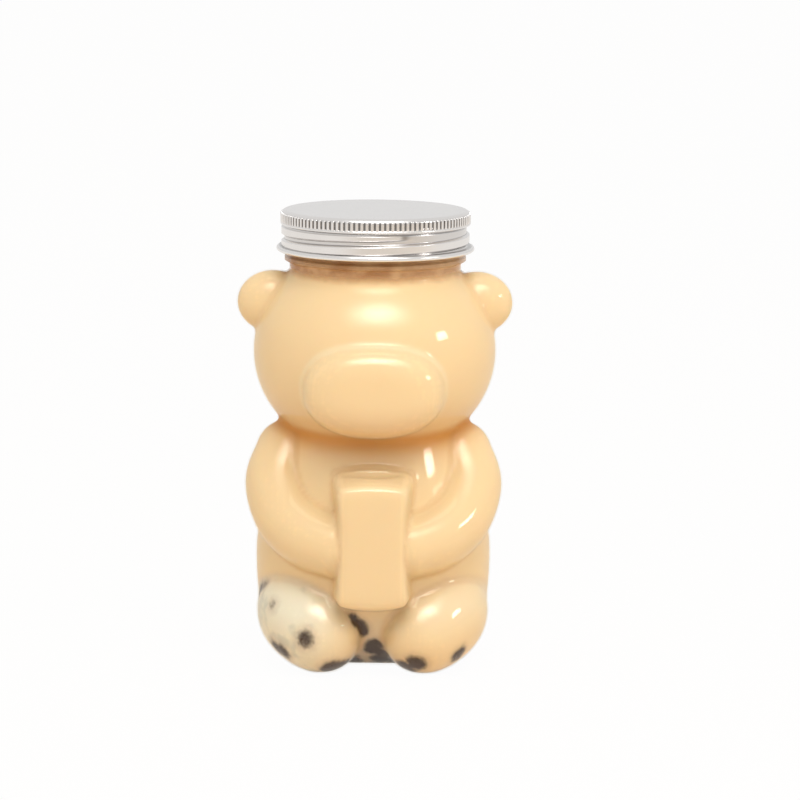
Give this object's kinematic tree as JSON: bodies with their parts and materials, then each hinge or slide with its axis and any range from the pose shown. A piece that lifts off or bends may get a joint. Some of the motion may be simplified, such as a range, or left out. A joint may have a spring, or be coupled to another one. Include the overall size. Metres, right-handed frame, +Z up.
{
  "type": "screw-top bottle",
  "caption": "Bear-shaped clear drinks bottle with a wide neck and a knurled aluminium screw cap, filled with milk tea and tapioca pearls.",
  "frame": {"origin": "on the standing plane, under the middle of the bottle's box; the screw axis is 3 mm behind it", "axes": "+Z up along the screw axis; -Y out of the bear's face; +X to the bear's left"},
  "size_m": [0.0942, 0.0845, 0.1556],
  "materials": {
    "clear_plastic": "clear gloss",
    "tea": "milky liquid",
    "tapioca": "wet gloss",
    "aluminium": "satin",
    "foam": "matte foam"
  },
  "bodies": {
    "bottle": {"bottle_body": "clear_plastic", "milk_tea": "tea", "tapioca_pearl_01": "tapioca", "tapioca_pearl_02": "tapioca", "tapioca_pearl_03": "tapioca", "tapioca_pearl_04": "tapioca", "tapioca_pearl_05": "tapioca", "tapioca_pearl_06": "tapioca", "tapioca_pearl_07": "tapioca", "tapioca_pearl_08": "tapioca", "tapioca_pearl_09": "tapioca", "tapioca_pearl_10": "tapioca", "tapioca_pearl_11": "tapioca", "tapioca_pearl_12": "tapioca", "tapioca_pearl_13": "tapioca", "tapioca_pearl_14": "tapioca", "tapioca_pearl_15": "tapioca", "tapioca_pearl_16": "tapioca", "tapioca_pearl_17": "tapioca", "tapioca_pearl_18": "tapioca", "tapioca_pearl_19": "tapioca", "tapioca_pearl_20": "tapioca", "tapioca_pearl_21": "tapioca", "tapioca_pearl_22": "tapioca"},
    "liner": {"cap_liner": "foam"},
    "cap": {"cap_shell": "aluminium"}
  },
  "joints": [
    {"name": "cap_lift", "type": "slide", "parent": "bottle", "child": "liner", "axis": [0, 0, 1], "range_m": [0, 0.0165]},
    {"name": "cap_unscrew", "type": "hinge", "parent": "liner", "child": "cap", "pos_m": [0, 0.003, 0.15], "axis": [0, 0, 1], "range_deg": [0, 1260]}
  ],
  "couplings": [
    {"joint": "cap_lift", "follows": "cap_unscrew", "m_per_rad": 0.00074803}
  ]
}
